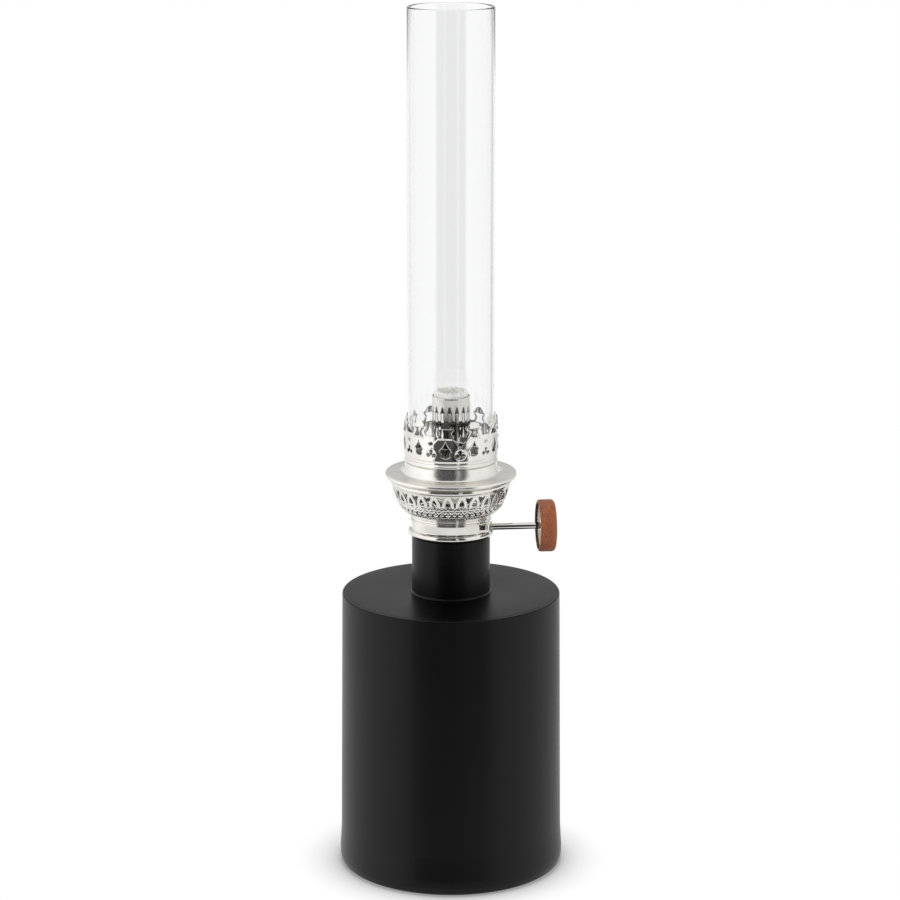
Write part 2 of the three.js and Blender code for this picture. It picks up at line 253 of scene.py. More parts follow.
def black_coat():
    material, n, shader, coords = principled("black_powder_coat", Metallic=0.0, IOR=1.45)
    shader.inputs["Specular IOR Level"].default_value = 0.24
    place = coords.outputs["Object"]
    grain = n.noise(place, 2600, 3.0, 0.6)
    handling = n.noise(place, 28, 4.0, 0.55)
    n.put(shader, "Base Color", n.mix(grain, (0.0002, 0.0002, 0.0002), (0.0010, 0.0010, 0.0010)))
    rough = n.math("ADD", n.span(handling, 0.33, 0.38, 0.3, 0.7), n.span(grain, -0.03, 0.03))
    n.put(shader, "Roughness", rough)
    swell = n.bump(n.noise(place, 420, 2.0), 0.12, 0.00010)
    n.put(shader, "Normal", n.bump(grain, 0.25, 0.00004, swell))
    return material


def nickel(name, low, high, tint=(0.86, 0.84, 0.80), shade=(0.74, 0.715, 0.67), rings=0.0, grain=0.10):
    """Nickel plate. low and high are the ends of its roughness, rings the depth of fine turning marks."""
    material, n, shader, coords = principled(name, Metallic=1.0)
    place = coords.outputs["Object"]
    patches = n.noise(place, 95, 3.0, 0.6)
    n.put(shader, "Base Color", n.mix(n.span(patches, 0.0, 1.0, 0.35, 0.75), tint, shade))
    wipes = n.noise(stretched(n, place, 1, 1, 9), 700, 3.0, 0.7)
    n.put(shader, "Roughness", n.span(n.math("MULTIPLY", wipes, n.span(patches, 0.7, 1.3)), low, high, 0.25, 0.75))
    height = n.noise(place, 330, 2.0, 0.5)
    normal = n.bump(height, grain, 0.00012)
    if rings:
        split = n.add("ShaderNodeSeparateXYZ", {0: place})
        flat = n.add("ShaderNodeCombineXYZ", {0: split.outputs[0], 1: split.outputs[1]}).outputs[0]
        along = n.math("ADD", n.vector("LENGTH", flat), split.outputs[2])
        ring_place = n.add("ShaderNodeCombineXYZ", {0: along}).outputs[0]
        normal = n.bump(n.noise(ring_place, 5200, 3.0, 0.7), rings, 0.00003, normal)
    n.put(shader, "Normal", normal)
    return material


def brass():
    material, n, shader, coords = principled("bare_brass", Metallic=1.0)
    place = coords.outputs["Object"]
    patches = n.noise(place, 130, 4.0, 0.6)
    n.put(shader, "Base Color", n.mix(n.span(patches, 0, 1, 0.3, 0.7), (0.74, 0.57, 0.29), (0.50, 0.35, 0.15)))
    n.put(shader, "Roughness", n.span(patches, 0.2, 0.42, 0.3, 0.7))
    n.put(shader, "Normal", n.bump(n.noise(place, 1500, 3.0), 0.2, 0.00004))
    return material


def steel():
    material, n, shader, coords = principled("pressed_steel", Metallic=1.0)
    place = coords.outputs["Object"]
    streaks = n.noise(stretched(n, place, 1, 12, 1), 300, 3.0, 0.6)
    n.put(shader, "Base Color", n.mix(streaks, (0.34, 0.34, 0.35), (0.52, 0.52, 0.52)))
    n.put(shader, "Roughness", n.span(streaks, 0.28, 0.5))
    n.put(shader, "Normal", n.bump(streaks, 0.15, 0.00004))
    return material


def leather():
    """Cognac leather with a fine diagonal crossed grain, laid on by the cover's own UV map (millimetres)."""
    material, n, shader, coords = principled("cognac_leather", Metallic=0.0, IOR=1.46)
    shader.inputs["Specular IOR Level"].default_value = 0.38
    shader.inputs["Sheen Weight"].default_value = 0.05
    shader.inputs["Sheen Roughness"].default_value = 0.5
    shader.inputs["Sheen Tint"].default_value = (0.9, 0.72, 0.6, 1)
    place = coords.outputs["UV"]
    wander = n.add("ShaderNodeTexNoise", {"Vector": place, "Scale": 0.9, "Detail": 2.0}).outputs["Color"]
    wander = n.vector("SCALE", n.vector("SUBTRACT", wander, (0.5, 0.5, 0.5)), scale=0.35)
    warped = n.vector("ADD", place, wander)
    heights = []
    for turn in (52, -38):
        rotation = (0, 0, math.radians(turn))
        turned_place = n.add("ShaderNodeMapping", {"Vector": warped, "Rotation": rotation}).outputs[0]
        wave = n.add(
            "ShaderNodeTexWave",
            {"Vector": turned_place, "Scale": 0.62, "Distortion": 0.7, "Detail": 1.0, "Detail Scale": 2.0},
            wave_type="BANDS",
            bands_direction="X",
        )
        heights.append(wave.outputs["Fac"])
    crossed = n.math("ADD", n.math("MULTIPLY", heights[0], 0.7), n.math("MULTIPLY", heights[1], 0.45))
    pores = n.noise(place, 7.0, 3.0, 0.6)
    blotch = n.noise(place, 0.35, 3.0, 0.55)
    deep = n.mix(n.span(blotch, 0, 1, 0.3, 0.7), (0.190, 0.046, 0.015), (0.125, 0.028, 0.009))
    high = n.mix(n.span(blotch, 0, 1, 0.3, 0.7), (0.480, 0.150, 0.058), (0.380, 0.110, 0.040))
    n.put(shader, "Base Color", n.mix(n.span(crossed, 0, 1, 0.3, 0.8), deep, high))
    n.put(shader, "Roughness", n.span(n.math("ADD", pores, crossed), 0.62, 0.44, 0.4, 1.4))
    fine = n.bump(pores, 0.35, 0.00006)
    n.put(shader, "Normal", n.bump(crossed, 1.0, 0.00030, fine))
    return material


def fibrous_matte(name, dark, light):
    material, n, shader, coords = principled(name, Metallic=0.0)
    place = coords.outputs["Object"]
    fibres = n.noise(stretched(n, place, 4, 1, 1), 1500, 4.0, 0.7)
    n.put(shader, "Base Color", n.mix(fibres, dark, light))
    n.put(shader, "Roughness", n.span(fibres, 0.9, 0.7))
    n.put(shader, "Normal", n.bump(fibres, 0.5, 0.00008))
    return material


def cotton():
    material, n, shader, coords = principled("woven_cotton", Metallic=0.0)
    shader.inputs["Sheen Weight"].default_value = 0.25
    shader.inputs["Sheen Roughness"].default_value = 0.6
    shader.inputs["Subsurface Weight"].default_value = 0.08
    shader.inputs["Subsurface Scale"].default_value = 0.0008
    place = coords.outputs["UV"]
    strands = n.add(
        "ShaderNodeTexWave",
        {"Vector": place, "Scale": 0.9, "Distortion": 1.2, "Detail": 2.0, "Detail Scale": 3.0},
        wave_type="BANDS",
        bands_direction="DIAGONAL",
    ).outputs["Fac"]
    fuzz = n.noise(coords.outputs["Object"], 2400, 4.0, 0.7)
    shade = n.math("MULTIPLY", strands, n.span(fuzz, 0.6, 1.3))
    n.put(shader, "Base Color", n.mix(n.span(shade, 0, 1, 0.1, 0.9), (0.80, 0.79, 0.765), (0.96, 0.955, 0.94)))
    n.put(shader, "Roughness", n.span(fuzz, 0.85, 0.98))
    n.put(shader, "Normal", n.bump(n.math("ADD", strands, fuzz), 0.6, 0.00012))
    return material


def felt():
    material, n, shader, coords = principled("dense_felt", Metallic=0.0)
    place = coords.outputs["Object"]
    fibres = n.noise(place, 1800, 5.0, 0.7)
    n.put(shader, "Base Color", n.mix(fibres, (0.006, 0.006, 0.006), (0.022, 0.022, 0.022)))
    n.put(shader, "Roughness", n.span(fibres, 0.88, 1.0))
    n.put(shader, "Normal", n.bump(fibres, 0.8, 0.00015))
    return material


def rubber():
    material, n, shader, coords = principled("seal_rubber", Metallic=0.0)
    grain = n.noise(coords.outputs["Object"], 2200, 3.0, 0.6)
    n.put(shader, "Base Color", n.mix(grain, (0.012, 0.012, 0.012), (0.03, 0.03, 0.03)))
    n.put(shader, "Roughness", n.span(grain, 0.6, 0.8))
    n.put(shader, "Normal", n.bump(grain, 0.3, 0.00005))
    return material


def glass():
    material, n, shader, coords = principled("clear_glass", Metallic=0.0, IOR=1.5)
    shader.inputs["Transmission Weight"].default_value = 1.0
    place = coords.outputs["Object"]
    drawn = n.noise(stretched(n, place, 1, 1, 0.08), 60, 2.0, 0.5)
    n.put(shader, "Base Color", n.mix(drawn, (0.955, 0.958, 0.957), (0.97, 0.972, 0.971)))
    n.put(shader, "Roughness", n.span(n.noise(place, 40, 3.0), 0.0, 0.012, 0.4, 0.8))
    n.put(shader, "Normal", n.bump(drawn, 0.02, 0.0001))
    return material


COAT = black_coat()
NICKEL = nickel("nickel_polished", 0.02, 0.055, rings=0.05, grain=0.02)
NICKEL_SATIN = nickel("nickel_satin", 0.17, 0.25, shade=(0.76, 0.735, 0.70), rings=0.5)
NICKEL_PRESSED = nickel("nickel_pressed", 0.04, 0.10, shade=(0.70, 0.68, 0.64), grain=0.10)
NICKEL_DULL = nickel("nickel_dull", 0.12, 0.20, tint=(0.88, 0.865, 0.83), shade=(0.72, 0.70, 0.66), grain=0.3)
BRASS = brass()
STEEL = steel()
LEATHER = leather()
LEATHER_EDGE = fibrous_matte("leather_cut_edge", (0.42, 0.24, 0.14), (0.68, 0.47, 0.33))
# A pale sheet for the cup's inner wall: its cream colour is a painted reflection of the bright nickel.
CUP_WALL_PAINTED_REFLECTION = fibrous_matte("cup_wall_painted_reflection", (0.80, 0.70, 0.62), (0.95, 0.88, 0.82))
# Far darker than the cover: painted shade on the leather turned into the cup's mouth.
LEATHER_TURNED_IN_SHADED = fibrous_matte("leather_turned_in_painted_shade", (0.035, 0.016, 0.010), (0.10, 0.045, 0.026))
COTTON = cotton()
FELT = felt()
RUBBER = rubber()
GLASS = glass()


# ---------------------------------------------------------------- mesh building
def finish_piece(name, mesh, materials, body, nodes=(), sharp=32.0):
    work = bmesh.new()
    work.from_mesh(mesh)
    bmesh.ops.remove_doubles(work, verts=work.verts, dist=1e-7)
    bmesh.ops.dissolve_degenerate(work, edges=work.edges, dist=1e-7)
    bmesh.ops.recalc_face_normals(work, faces=work.faces)
    work.to_mesh(mesh)
    work.free()
    mesh.shade_smooth()
    mesh.set_sharp_from_angle(angle=math.radians(sharp))
    if body not in ("reservoir", "burner_seal"):
        mesh.transform(Matrix.Translation((0, 0, BURNER_DATUM * MM)))
    piece = bpy.data.objects.new(name, mesh)
    bpy.context.collection.objects.link(piece)
    for material in materials if isinstance(materials, (list, tuple)) else [materials]:
        mesh.materials.append(material)
    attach(piece, body)
    if nodes:
        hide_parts(*nodes)
    return piece


def rounded(profile, closed):
    """(r, z) points in millimetres; one with a third number gets its corner rounded to that radius."""
    count = len(profile)
    out = []
    for i, point in enumerate(profile):
        here = np.array(point[:2], float)
        radius = point[2] if len(point) > 2 else 0.0
        if radius <= 0 or (not closed and i in (0, count - 1)):
            out.append(here)
            continue
        before = np.array(profile[i - 1][:2], float) - here
        after = np.array(profile[(i + 1) % count][:2], float) - here
        len_before, len_after = np.hypot(*before), np.hypot(*after)
        before, after = before / len_before, after / len_after
        angle = math.acos(max(-1.0, min(1.0, float(before @ after))))
        if angle > math.pi - 0.02:
            out.append(here)
            continue
        reach = min(radius / math.tan(angle / 2), 0.49 * len_before, 0.49 * len_after)
        radius = reach * math.tan(angle / 2)
        middle = before + after
        centre = here + middle / np.hypot(*middle) * radius / math.sin(angle / 2)
        first, last = here + before * reach - centre, here + after * reach - centre
        a0, a1 = math.atan2(first[1], first[0]), math.atan2(last[1], last[0])
        turn = (a1 - a0 + math.pi) % (2 * math.pi) - math.pi
        steps = max(2, int(abs(turn) / math.radians(11)) + 1)
        for k in range(steps + 1):
            a = a0 + turn * k / steps
            out.append(centre + radius * np.array([math.cos(a), math.sin(a)]))
    return np.array(out)


def turned(name, profile, material, body, nodes=(), segs=144, spindle=False, shape=None, sharp=32.0):
    """A turned piece about the lamp's axis, or about the spindle's, from an outline of (r, along) in millimetres.
    shape(theta, points) may move the points of each section. The UV map is in millimetres round and along."""
    closed = profile[0][0] > 0 and profile[-1][0] > 0
    outline = rounded(profile, closed)
    rows = len(outline)
    verts, poles = [], {}
    index = np.zeros((segs, rows), int)
    for j in range(segs):
        theta = 2 * math.pi * j / segs
        section = outline if shape is None else shape(theta, outline.copy())
        for i, (r, z) in enumerate(section):
            if r < 1e-6:
                if i not in poles:
                    poles[i] = len(verts)
                    verts.append((0.0, 0.0, z))
                index[j, i] = poles[i]
            else:
                index[j, i] = len(verts)
                verts.append((r * math.cos(theta), r * math.sin(theta), z))
    lengths = np.concatenate([[0], np.cumsum(np.hypot(*np.diff(outline, axis=0).T))])
    mean_r = float(outline[:, 0].mean())
    faces, uvs = [], []
    for j in range(segs):
        k = (j + 1) % segs
        u0, u1 = 2 * math.pi * mean_r * j / segs, 2 * math.pi * mean_r * (j + 1) / segs
        for i in range(rows if closed else rows - 1):
            m = (i + 1) % rows
            v0, v1 = lengths[i], lengths[m] if m else lengths[-1] + 1.0
            corners = [
                (index[j, i], (u0, v0)), (index[k, i], (u1, v0)), (index[k, m], (u1, v1)), (index[j, m], (u0, v1)),
            ]
            kept = []
            for vertex, uv in corners:
                if vertex not in [c[0] for c in kept]:
                    kept.append((vertex, uv))
            if len(kept) > 2:
                faces.append([int(c[0]) for c in kept])
                uvs.extend(c[1] for c in kept)
    points = np.array(verts)
    if spindle:
        points = np.stack([points[:, 2], points[:, 0] + SPINDLE_Y, points[:, 1] + SPINDLE_Z], axis=1)
    mesh = bpy.data.meshes.new(name)
    mesh.from_pydata((points * MM).tolist(), [], faces)
    layer = mesh.uv_layers.new(name="lay")
    layer.data.foreach_set("uv", np.array(uvs, np.float32).ravel())
    return finish_piece(name, mesh, material, body, nodes, sharp)


# Signed distances on a flat pattern, negative inside.
def sd_circle(u, v, cu, cv, r):
    return np.hypot(u - cu, v - cv) - r


def sd_line(u, v, a, b, r):
    a, b = np.array(a, float), np.array(b, float)
    d = b - a
    t = np.clip(((u - a[0]) * d[0] + (v - a[1]) * d[1]) / max(d @ d, 1e-12), 0, 1)
    return np.hypot(u - a[0] - t * d[0], v - a[1] - t * d[1]) - r


def sd_polygon(u, v, points):
    """Distance to a closed outline."""
    points = np.array(points, float)
    best = np.full(u.shape, 1e9)
    inside = np.zeros(u.shape, bool)
    for i in range(len(points)):
        a, b = points[i], points[(i + 1) % len(points)]
        best = np.minimum(best, sd_line(u, v, a, b, 0.0))
        crosses = (a[1] > v) != (b[1] > v)
        with np.errstate(divide="ignore", invalid="ignore"):
            at = a[0] + (v - a[1]) * (b[0] - a[0]) / (b[1] - a[1])
        inside ^= crosses & (u < at)
    return np.where(inside, -best, best)


def bell(x, middle, width):
    """A smooth rise to 1 at the middle."""
    return np.exp(-((x - middle) / width) ** 2)


def smooth_outline(points, rounds=2):
    """Cuts the corners of a closed outline, so it reads as curves. A point with a third value stays a cusp."""
    points = [(p[0], p[1], len(p) > 2 and bool(p[2])) for p in points]
    for _ in range(rounds):
        cut = []
        for i, (x, y, cusp) in enumerate(points):
            if cusp:
                cut.append((x, y, True))
                continue
            for ox, oy, _ in (points[i - 1], points[(i + 1) % len(points)]):
                cut.append((0.75 * x + 0.25 * ox, 0.75 * y + 0.25 * oy, False))
        points = cut
    return [(x, y) for x, y, _ in points]


def pierced(name, count, arc, heights, pattern, place, relief, thickness, material, body, nodes, turn=0.0):
    """A pierced and embossed sheet wrapped round the axis. pattern(u, v) is negative where there is metal,
    arc the width of one repeat, place(v) gives (r, z, normal r, normal z), relief(u, v, d) lifts the outside."""
    columns = int(round(arc / 0.2))
    rows = int(round((heights[1] - heights[0]) / 0.2))
    us = -arc / 2 + arc * np.arange(columns + 1) / columns
    vs = heights[0] + (heights[1] - heights[0]) * np.arange(rows + 1) / rows
    u, v = np.meshgrid(us, vs, indexing="ij")
    d = pattern(u, v)
    d = np.where(np.abs(d) < 0.012, np.where(d < 0, -0.012, 0.012), d)
    total = columns * count
    seen, flat_points, cells = {}, [], []

    def vertex(key, uu, vv):
        if key not in seen:
            seen[key] = len(flat_points)
            flat_points.append((uu, vv))
        return seen[key]

    for i in range(columns):
        for j in range(rows):
            ring = [(i, j), (i + 1, j), (i + 1, j + 1), (i, j + 1)]
            values = [d[p] for p in ring]
            if all(x > 0 for x in values):
                continue
            cell = []
            for k in range(4):
                p, q = ring[k], ring[(k + 1) % 4]
                dp, dq = values[k], values[(k + 1) % 4]
                if dp < 0:
                    cell.append((p, None, us[p[0]], vs[p[1]]))
                if (dp < 0) != (dq < 0):
                    t = min(0.94, max(0.06, dp / (dp - dq)))
                    low, high = (p, q) if p < q else (q, p)
                    uu = us[p[0]] + t * (us[q[0]] - us[p[0]])
                    vv = vs[p[1]] + t * (vs[q[1]] - vs[p[1]])
                    cell.append((low, high, uu, vv))
            cells.append(cell)
    faces = []
    for repeat in range(count):
        shift = repeat * columns
        for cell in cells:
            face = []
            for low, high, uu, vv in cell:
                if high is None:
                    key = ((low[0] + shift) % total, low[1])
                else:
                    key = ((low[0] + shift) % total, low[1], high[0] - low[0], high[1] - low[1])
                face.append(vertex(key, uu + repeat * arc, vv))
            faces.append(face)
    flat_points = np.array(flat_points)
    pu, pv = flat_points[:, 0], flat_points[:, 1]
    local = (pu + arc / 2) % arc - arc / 2
    edge = pattern(local, pv)
    r, z, nr, nz = place(pv)
    lift = relief(local, pv, -edge)
    theta = 2 * math.pi * pu / (arc * count) - math.pi / 2 + turn
    rings = []
    for offset in (lift, np.full(lift.shape, -thickness)):
        rr, zz = r + nr * offset, z + nz * offset
        rings.append(np.stack([rr * np.cos(theta), rr * np.sin(theta), zz], axis=1))
    size = len(flat_points)
    open_edges = {}
    for face in faces:
        for k in range(len(face)):
            pair = (face[k], face[(k + 1) % len(face)])
            if (pair[1], pair[0]) in open_edges:
                del open_edges[(pair[1], pair[0])]
            else:
                open_edges[pair] = True
    all_faces = list(faces)
    all_faces += [[x + size for x in reversed(face)] for face in faces]
    all_faces += [[b, a, a + size, b + size] for a, b in open_edges]
    mesh = bpy.data.meshes.new(name)
    mesh.from_pydata((np.concatenate(rings) * MM).tolist(), [], all_faces)
    return finish_piece(name, mesh, material, body, nodes, 40.0)


def profile_places(points):
    """place(v) for a sheet that follows (r, z) points; v is the length along them from the first."""
    points = np.array(points, float)
    steps = np.hypot(*np.diff(points, axis=0).T)
    along = np.concatenate([[0], np.cumsum(steps)])
    slopes = np.gradient(points, along, axis=0)
    slopes /= np.hypot(slopes[:, 0], slopes[:, 1])[:, None]

    def place(v):
        r, z = np.interp(v, along, points[:, 0]), np.interp(v, along, points[:, 1])
        tr, tz = np.interp(v, along, slopes[:, 0]), np.interp(v, along, slopes[:, 1])
        norm = np.hypot(tr, tz)
        return r, z, tz / norm, -tr / norm

    return place, along, points


# ---------------------------------------------------------------- reservoir
turned("can", [
    (44.6, 0.3), (45.0, 0.3, 0.3), (45.75, 1.0, 0.8), (46.25, 3.3, 3.0), (46.3, 6.2, 6.0), (46.0, 11.0, 12.0),
    (45.75, 15.8, 12.0), (44.7, 116.1, 0.9), (43.2, 116.0, 0.5), (42.6, 116.1, 0.5), (16.1, 116.1, 0.2),
    (16.1, 114.9), (43.5, 114.9, 1.2), (44.55, 15.8, 12.0), (45.1, 6.2, 5.0), (44.6, 1.4),
], COAT, "reservoir", ["reservoir_body"], segs=192, sharp=50)

turned("neck", [
    (15.2, 113.5), (20.0, 113.5), (20.0, 114.5), (16.05, 114.5), (16.05, 116.15), (16.8, 116.15, 0.08),
    (16.0, 116.75, 0.6), (16.0, 140.3, 0.2), (15.2, 140.3, 0.2),
], COAT, "reservoir", ["reservoir_neck"], segs=128, sharp=50)

turned("foot_plate", [
    (0, 1.2), (30.0, 1.2), (31.0, 1.6, 1.0), (38.0, 1.6, 1.0), (39.0, 1.2, 1.0), (43.9, 1.2, 0.5),
    (44.2, 8.0, 0.2), (43.4, 8.0, 0.2), (43.4, 2.2, 0.6), (39.0, 2.2, 1.0), (38.0, 2.6, 1.0), (31.0, 2.6, 1.0),
    (30.0, 2.2), (0, 2.2),
], STEEL, "reservoir", ["base_plate"])

turned("foot_felt", [
    (0, 0.0), (44.1, 0.0, 0.3), (44.3, 0.45, 0.3), (44.1, 0.9, 0.3), (0, 0.9),
], FELT, "reservoir", ["base_pad"])


def threads(pitch, depth, low, high):
    """Cuts a round thread into the outline between two heights."""
    def shape(theta, points):
        zone = (points[:, 1] > low) & (points[:, 1] < high)
        wave = 0.5 + 0.5 * np.cos(2 * math.pi * points[:, 1] / pitch - theta)
        points[zone, 0] -= depth * wave[zone]
        return points
    return shape


def rung(r, low, high, step=0.35):
    count = int((high - low) / step)
    return [(r, low + (high - low) * k / count) for k in range(count + 1)]


turned("neck_thread_ring", [
    *rung(13.62, 130.0, 139.3), (13.9, 139.5, 0.1), (14.9, 139.5, 0.1), (14.9, 129.8, 0.1), (13.9, 129.8, 0.1),
], BRASS, "reservoir", ["neck_collar"], segs=96)

turned("seal_ring", [
    (13.8, 140.62, 0.15), (15.9, 140.62, 0.2), (15.9, 141.18, 0.2), (13.8, 141.18, 0.15),
], RUBBER, "burner_seal", ["burner_gasket"], segs=96)


# ---------------------------------------------------------------- burner body
turned("burner_cup", [
    (12.5, 130.0), (12.9, 129.9, 0.1), *rung(13.3, 130.3, 138.7), (13.3, 139.2, 0.2), (16.35, 139.2, 0.1),
    (16.35, 138.55, 0.1), (17.0, 138.5, 0.25), (17.6, 139.3, 0.5), (17.65, 140.0, 0.5), (17.3, 140.7, 0.6),
    (16.6, 141.1, 0.5), (16.1, 141.5, 0.25), (16.52, 144.95, 0.1), (15.95, 145.25, 0.15), (16.1, 145.6, 0.2),
    (16.65, 146.05, 0.35), (16.5, 146.65, 0.35), (16.1, 146.9, 0.12), (16.8, 147.25, 0.25),
    (16.8, 147.85, 0.25), (15.5, 147.85), (15.5, 139.9), (12.5, 139.9),
], NICKEL, "burner", ["burner_base"], segs=160, shape=threads(2.5, 0.45, 130.2, 138.8), sharp=38)

turned("diaphragm", [
    (8.1, 147.0), (15.2, 147.0), (15.2, 147.6, 0.15), (12.2, 147.6, 0.4), (11.8, 147.35, 0.4),
    (10.4, 147.35, 0.4), (10.0, 147.6, 0.4), (8.1, 147.6, 0.15),
], NICKEL_SATIN, "burner", ["burner_floor"], segs=96)

turned("wick_tube", [
    (7.2, 126.0), (7.8, 126.0), (7.8, 195.6), (7.84, 195.8, 0.1), (7.86, 196.15, 0.15), (7.7, 196.32, 0.12),
    (7.25, 196.3, 0.12), (7.2, 196.0),
], NICKEL, "burner", ["outer_wick_tube"], segs=96)

turned("draught_tube", [
    (0, 131.0), (4.9, 131.0, 0.5), (4.9, 194.6, 0.15), (4.3, 194.6, 0.15), (4.3, 131.6), (0, 131.6),
], BRASS, "burner", ["inner_draught_tube"], segs=72)

# Basket: length along the bowl is measured from its bottom edge.
BOWL = rounded([
    (16.0, 148.15), (18.3, 148.3, 0.8), (19.3, 149.2, 1.0), (20.6, 150.7, 3.0), (21.7, 152.6, 5.0),
    (22.6, 154.5, 6.0), (23.5, 157.3, 8.0), (24.15, 159.7),
], False)
bowl_place, bowl_along, bowl_points = profile_places(BOWL)
BOWL_END = float(bowl_along[-1])


def at_height(z):
    return float(np.interp(z, bowl_points[:, 1], bowl_along))


BOWL_MEAN_R = 23.2
BOWL_ARC = 2 * math.pi * BOWL_MEAN_R / BASKET_N
BOWL_SHEET = 0.6
BOWL_TURN = math.radians(-8.7)


def bowl_pattern(u, v):
    half = BOWL_ARC / 2
    z0, z1 = at_height(154.85), at_height(157.75)
    arch = sd_polygon(u, v, smooth_outline([
        (-1.12, z0), (1.12, z0), (1.05, z0 + 1.3), (0, z1 + 0.45), (-1.05, z0 + 1.3),
    ], 2))
    side = half - np.abs(u)
    top, low = at_height(159.1), at_height(154.5)
    tulip = smooth_outline([
        (0, low), (0.42, low), (0.38, low + 1.9), (0.95, low + 3.0), (1.72, top), (0.8, top - 0.15),
        (0, top - 0.85), (-0.8, top - 0.15), (-1.72, top), (-0.95, low + 3.0), (-0.38, low + 1.9), (-0.42, low),
    ], 2)
    gap = sd_polygon(side, v, tulip)
    dot = sd_circle(u, v, 0, at_height(153.95), 0.42)
    dot2 = sd_circle(side, v, 0, at_height(153.5), 0.25)
    holes = np.minimum(np.minimum(arch, gap), np.minimum(dot, dot2))
    return -holes


def bowl_relief(u, v, depth):
    half = BOWL_ARC / 2
    side = half - np.abs(u)
    rim = 0.10 * bell(depth, 0.30, 0.16) - 0.06 * bell(depth, 0, 0.10)
    middle = at_height(151.5)
    r1, r2 = np.hypot(u, v - middle), np.hypot(side, (v - middle))
    flower = 0.30 * bell(r1, 1.15, 0.24) + 0.30 * bell(r1, 0, 0.45)
    flower += 0.26 * bell(r2, 0.95, 0.22) + 0.22 * bell(r2, 0, 0.32)
    across = ((u + BOWL_ARC * 8) % (BOWL_ARC / 4)) - BOWL_ARC / 8
    scallop = 0.18 * bell(np.hypot(across, v - at_height(149.2)), 0.30, 0.2)
    low_line = 0.16 * bell(v, at_height(153.0), 0.14) + 0.12 * bell(v, at_height(149.75), 0.12)
    fade = np.clip((v - at_height(148.5)) / 0.5, 0, 1)
    rim *= np.clip((BOWL_END - v) / 0.6, 0, 1)
    return (rim + flower + scallop + low_line) * fade


pierced("air_bowl", BASKET_N, BOWL_ARC, (0.0, BOWL_END), bowl_pattern, bowl_place, bowl_relief, BOWL_SHEET,
        NICKEL_DULL, "burner", ["air_basket"], BOWL_TURN)

turned("bowl_rim", [
    (23.55, 159.3), (24.2, 159.5, 0.1), (24.25, 159.95, 0.2), (24.75, 160.3, 0.35), (24.95, 161.0, 0.5),
    (24.75, 161.7, 0.4), (24.2, 162.1, 0.3), (23.95, 162.8, 0.2), (23.35, 162.8, 0.2),
], NICKEL, "burner", segs=144)


def on_spindle(name, profile, material, nodes=(), segs=96, shape=None, sharp=32.0):
    return turned(name, profile, material, "winder", nodes, segs, True, shape, sharp)


def prism(name, outline, low, high, material, body, nodes=(), bevel=0.15, axis="Z"):
    """A flat outline with thickness and softened edges. axis Z: outline is (x, y), heights are z.
    axis X: outline is (y, z), heights are x."""
    work = bmesh.new()
    verts = [work.verts.new((p[0], p[1], low)) for p in outline]
    face = work.faces.new(verts)
    grown = bmesh.ops.extrude_face_region(work, geom=[face])
    lifted = [g for g in grown["geom"] if isinstance(g, bmesh.types.BMVert)]
    bmesh.ops.translate(work, verts=lifted, vec=(0, 0, high - low))
    bmesh.ops.recalc_face_normals(work, faces=work.faces)
    edges = [e for e in work.edges if e.calc_face_angle(0) > math.radians(25)]
    bmesh.ops.bevel(work, geom=edges, offset=bevel, segments=3, profile=0.5, affect="EDGES", clamp_overlap=True)
    for v in work.verts:
        a, b, c = v.co
        v.co = Vector((a, b, c) if axis == "Z" else (c, a, b)) * MM
    mesh = bpy.data.meshes.new(name)
    work.to_mesh(mesh)
    work.free()
    return finish_piece(name, mesh, material, body, nodes)


def arc_points(cx, cy, r, a0, a1, steps):
    angles = [math.radians(a0 + (a1 - a0) * k / steps) for k in range(steps + 1)]
    return [(cx + r * math.cos(a), cy + r * math.sin(a)) for a in angles]


# The spindle's gland: a soldered box, rounded at its outer front edge.
prism("spindle_gland", [(9.8, -6.4), (9.8, -12.6), *arc_points(13.3, -10.9, 1.7, -90, 0, 8), (15.0, -6.4)],
      141.52, 144.68, NICKEL, "burner", ["gland_block"], bevel=0.12)
on_spindle("spindle_washer", [(1.35, 15.3), (2.2, 15.3, 0.12), (2.3, 15.8, 0.15), (1.35, 15.8)],
           NICKEL, ["shaft_washer"])
prism("spindle_bracket", [
    (-11.2, 140.4), (-6.8, 140.4), (-6.8, 145.2), (-7.7, 146.7), (-10.3, 146.7), (-11.2, 145.2),
], -8.0, -7.2, BRASS, "burner", ["shaft_bracket"], bevel=0.1, axis="X")
on_spindle("spindle", [
    (0, -8.6), (0.85, -8.6, 0.1), (1.0, -8.4), (1.0, 8.7), (1.32, 8.9, 0.1), (1.32, 35.3), (1.32, KNOB_X + 5.0),
    (0, KNOB_X + 5.0),
], NICKEL, ["winder_shaft"], segs=64)
on_spindle("spindle_stop", [(1.3, 8.95), (2.5, 8.95, 0.15), (2.6, 9.9, 0.15), (1.3, 9.9)], BRASS,
           ["shaft_stop_ring"], segs=48)


def teeth(count, depth):
    def shape(theta, points):
        outer = points[:, 0] > points[:, 0].max() * 0.8
        points[outer, 0] -= depth * (0.5 + 0.5 * math.cos(count * theta))
        return points
    return shape


for number, (x, r) in enumerate(((-4.2, 2.85), (-1.7, 1.95), (1.7, 1.95), (4.2, 2.85)), 1):
    on_spindle(f"spur_wheel_{number}", [(1.0, x - 0.6), (r, x - 0.6, 0.08), (r, x + 0.6, 0.08), (1.0, x + 0.6)],
               BRASS, [f"feed_wheel_{number}"], segs=112, shape=teeth(14 if r > 2 else 10, 0.35))

